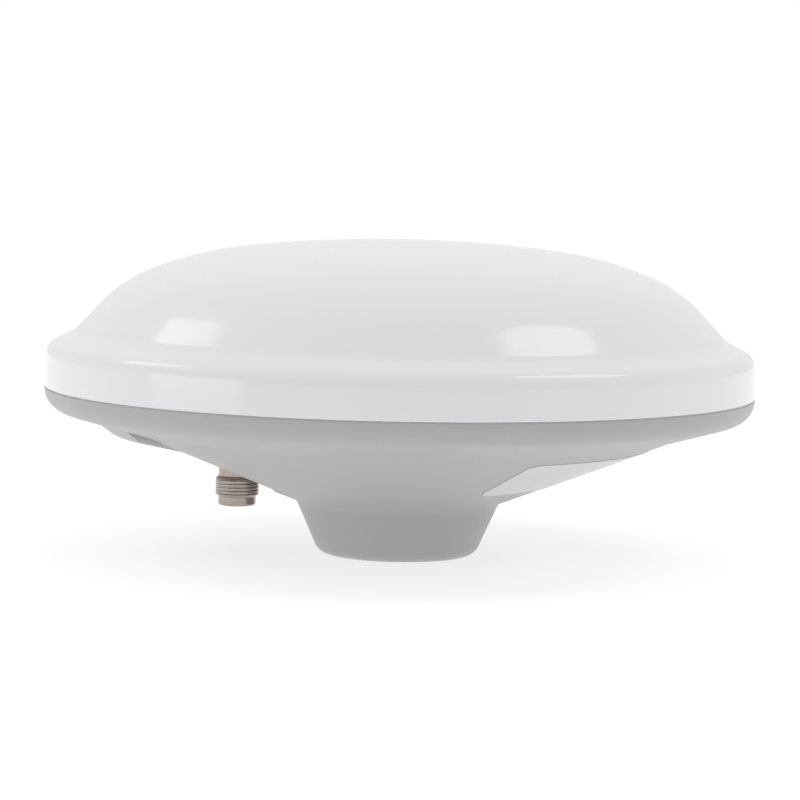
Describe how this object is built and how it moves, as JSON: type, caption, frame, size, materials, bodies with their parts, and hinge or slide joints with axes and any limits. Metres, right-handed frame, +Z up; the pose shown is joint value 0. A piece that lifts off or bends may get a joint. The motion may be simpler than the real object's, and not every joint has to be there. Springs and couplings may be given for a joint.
{
  "type": "gnss antenna",
  "caption": "Dome-topped survey antenna with a conical base, a threaded mast socket in its hub and a coaxial jack pointing down beside it.",
  "frame": {"origin": "centre of the hub's flat foot, where the mast shoulder lands", "axes": "+Z up through the dome, along the mast; the coaxial jack stands off to -X"},
  "size_m": [0.18, 0.18, 0.08],
  "materials": {
    "radome_gloss": "glossy white moulded plastic",
    "base_paint": "satin light grey paint on a casting",
    "seal_rubber": "matt grey sealant",
    "socket_steel": "turned stainless steel",
    "screw_steel": "bright steel",
    "jack_plate": "nickel plate with a warm tone",
    "white_insulator": "white, waxy",
    "contact_gold": "gold plate",
    "cable_jacket": "brown translucent jacket",
    "board_green": "green solder mask",
    "can_tin": "tin plate",
    "filter_ceramic": "pale ceramic",
    "chip_black": "matt black",
    "sheet_aluminium": "mill finish",
    "label_film": "pale grey film, blank"
  },
  "bodies": {
    "root": {"radome": "radome_gloss", "rim_seal": "seal_rubber", "base_housing": "base_paint", "mast_socket": "socket_steel", "socket_gasket": "seal_rubber", "socket_screws": "screw_steel", "jack_shell": "jack_plate", "jack_insulator": "white_insulator", "jack_contact": "contact_gold", "jack_gasket": "seal_rubber", "jack_lock_washer": "screw_steel", "jack_nut": "jack_plate", "coax_pigtail": "cable_jacket", "lna_board": "board_green", "board_screws": "screw_steel", "shield_can": "can_tin", "lna_filters": "filter_ceramic", "lna_amplifiers": "chip_black", "phase_couplers": "filter_ceramic", "ground_plane": "sheet_aluminium", "plane_screws": "screw_steel", "lower_patch": "sheet_aluminium", "upper_patch": "sheet_aluminium", "lower_spacers": "white_insulator", "upper_spacers": "white_insulator", "centre_post": "sheet_aluminium", "post_screws": "screw_steel", "feed_pins": "contact_gold", "feed_bushings": "white_insulator", "label_blank": "label_film"}
  },
  "joints": []
}
